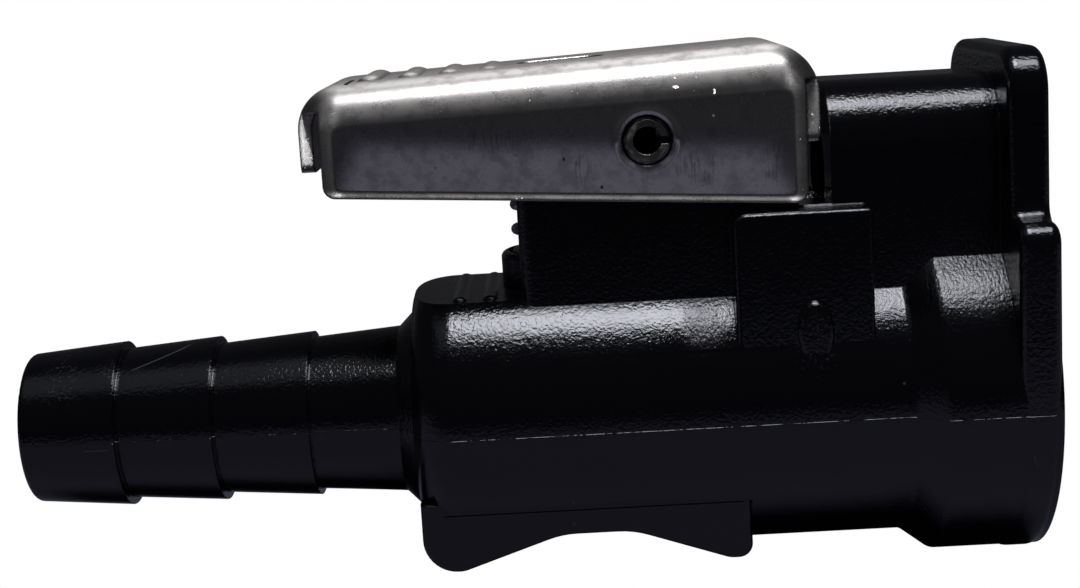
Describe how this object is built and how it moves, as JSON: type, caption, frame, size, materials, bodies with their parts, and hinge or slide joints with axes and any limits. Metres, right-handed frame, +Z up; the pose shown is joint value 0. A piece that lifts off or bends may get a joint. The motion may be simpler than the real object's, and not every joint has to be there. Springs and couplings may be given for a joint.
{
  "type": "quick disconnect fuel hose coupling",
  "caption": "Black moulded hose coupling half with barbed tail, fuel and guide sockets, sprung shut-off valve and a stainless latch lever on a cross pin",
  "frame": {"origin": "centre of the fuel socket's mouth, on the front face of the flange", "axes": "+X out of the sockets towards the mating fitting, +Z up towards the latch lever, +Y completes the right-handed frame"},
  "size_m": [0.0673, 0.023, 0.035],
  "materials": {
    "moulded_body": "black moulded nylon, satin gloss with a fine pebbled skin",
    "stainless_sheet": "tumbled stainless sheet, faintly scuffed and pitted",
    "spring_pin_steel": "rolled stainless spring pin, darkened",
    "spring_wire": "drawn stainless spring wire",
    "valve_plastic": "dark moulded acetal",
    "poppet_brass": "turned brass",
    "seal_rubber": "black nitrile rubber"
  },
  "bodies": {
    "coupling": {"body": "moulded_body", "pivot_pin": "spring_pin_steel", "lever_spring": "spring_wire", "valve_seat": "valve_plastic", "seal_retainer": "valve_plastic", "socket_oring": "seal_rubber", "valve_spring": "spring_wire"},
    "latch": {"latch_lever": "stainless_sheet"},
    "valve": {"valve_poppet": "poppet_brass", "poppet_seal": "seal_rubber"}
  },
  "joints": [
    {"name": "lever_pivot", "type": "hinge", "parent": "coupling", "child": "latch", "pos_m": [-0.0249, 0, 0.01805], "axis": [0, -1, 0], "range_deg": [0, 12], "stiffness_Nm_per_rad": 0.05, "springref_deg": -25.78, "deforming": ["lever_spring"]},
    {"name": "valve_slide", "type": "slide", "parent": "coupling", "child": "valve", "axis": [-1, 0, 0], "range_m": [0, 0.0035], "stiffness_N_per_m": 800, "springref_m": -0.003, "deforming": ["valve_spring"]}
  ]
}
